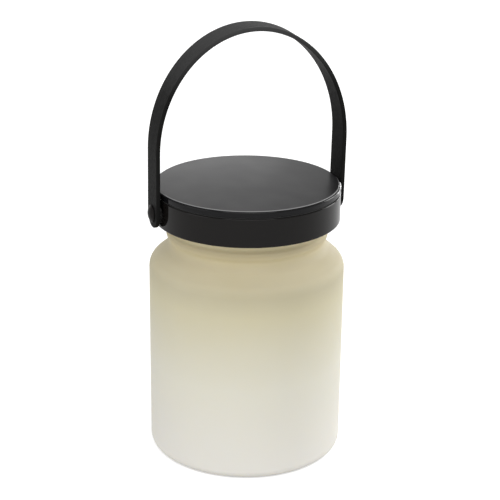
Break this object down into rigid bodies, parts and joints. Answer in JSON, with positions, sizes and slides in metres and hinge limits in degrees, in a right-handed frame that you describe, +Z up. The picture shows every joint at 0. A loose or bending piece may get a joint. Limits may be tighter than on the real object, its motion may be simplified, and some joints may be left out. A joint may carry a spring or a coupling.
{
  "type": "jar lantern",
  "caption": "Frosted glass jar lantern with a screw-on solar lid, a lamp module inside the jar's mouth and a strap handle that swings on studs at the lid's sides.",
  "frame": {"origin": "centre of the jar's foot, on the surface that it stands on", "axes": "+Z up along the jar's axis, X along the handle's pivot axis, -Y towards the side the handle leans to"},
  "size_m": [0.1068, 0.1016, 0.2272],
  "materials": {
    "frosted_glass": "acid-frosted, cream",
    "lid_gloss": "gloss black moulding",
    "smoked_cover": "dark smoked clear moulding",
    "strap_satin": "satin black",
    "stud_gloss": "gloss black",
    "seal_silicone": "translucent silicone",
    "gasket_foam": "closed-cell foam",
    "panel_laminate": "black glass-fibre laminate",
    "solar_silicon": "dark blue silicon",
    "housing_white": "white moulding",
    "board_green": "green solder mask",
    "chip_black": "moulded black",
    "coil_ferrite": "dark ferrite",
    "lamp_epoxy": "water-clear epoxy, warm white lamp",
    "diffuser_opal": "opal",
    "switch_black": "fine matt",
    "cell_sleeve": "plain shrink sleeve; a real cell weighs about as much as aluminium",
    "contact_nickel": "nickel plated",
    "screw_steel": "zinc plated",
    "lead_red": "insulated wire",
    "lead_black": "insulated wire"
  },
  "bodies": {
    "jar": {"glass_jar": "frosted_glass"},
    "seal": {"lid_seal": "seal_silicone"},
    "lid": {"lid_shell": "lid_gloss", "top_cover": "smoked_cover", "cover_gasket": "gasket_foam", "solar_board": "panel_laminate", "solar_cells": "solar_silicon", "panel_lead_red": "lead_red", "panel_lead_black": "lead_black", "left_stud": "stud_gloss", "right_stud": "stud_gloss", "light_housing": "housing_white", "housing_screws": "screw_steel", "circuit_board": "board_green", "board_screws": "screw_steel", "driver_chip": "chip_black", "inductor": "coil_ferrite", "leds": "lamp_epoxy", "led_diffuser": "diffuser_opal", "switch_body": "contact_nickel", "battery_cell": "cell_sleeve", "positive_contact": "contact_nickel", "negative_contact": "contact_nickel", "contact_spring": "contact_nickel", "battery_lead_red": "lead_red", "battery_lead_black": "lead_black"},
    "handle": {"handle_strap": "strap_satin"},
    "switch": {"switch_lever": "switch_black", "switch_button": "switch_black"},
    "door": {"battery_door": "housing_white", "door_screw": "screw_steel"}
  },
  "joints": [
    {"name": "lid_rise", "type": "slide", "parent": "jar", "child": "seal", "axis": [0, 0, 1], "range_m": [0, 0.0064]},
    {"name": "lid_turn", "type": "hinge", "parent": "seal", "child": "lid", "pos_m": [0, 0, 0.13741], "axis": [0, 0, 1], "range_deg": [0, 450]},
    {"name": "handle_swing", "type": "hinge", "parent": "lid", "child": "handle", "pos_m": [0, 0, 0.13341], "axis": [1, 0, 0], "range_deg": [-143, 139]},
    {"name": "switch_slide", "type": "slide", "parent": "lid", "child": "switch", "axis": [1, 0, 0], "range_m": [0, 0.002]},
    {"name": "door_drop", "type": "slide", "parent": "lid", "child": "door", "axis": [0, 0, -1], "range_m": [0, 0.01]}
  ],
  "couplings": [
    {"joint": "lid_rise", "follows": "lid_turn", "m_per_rad": 0.00080851}
  ]
}
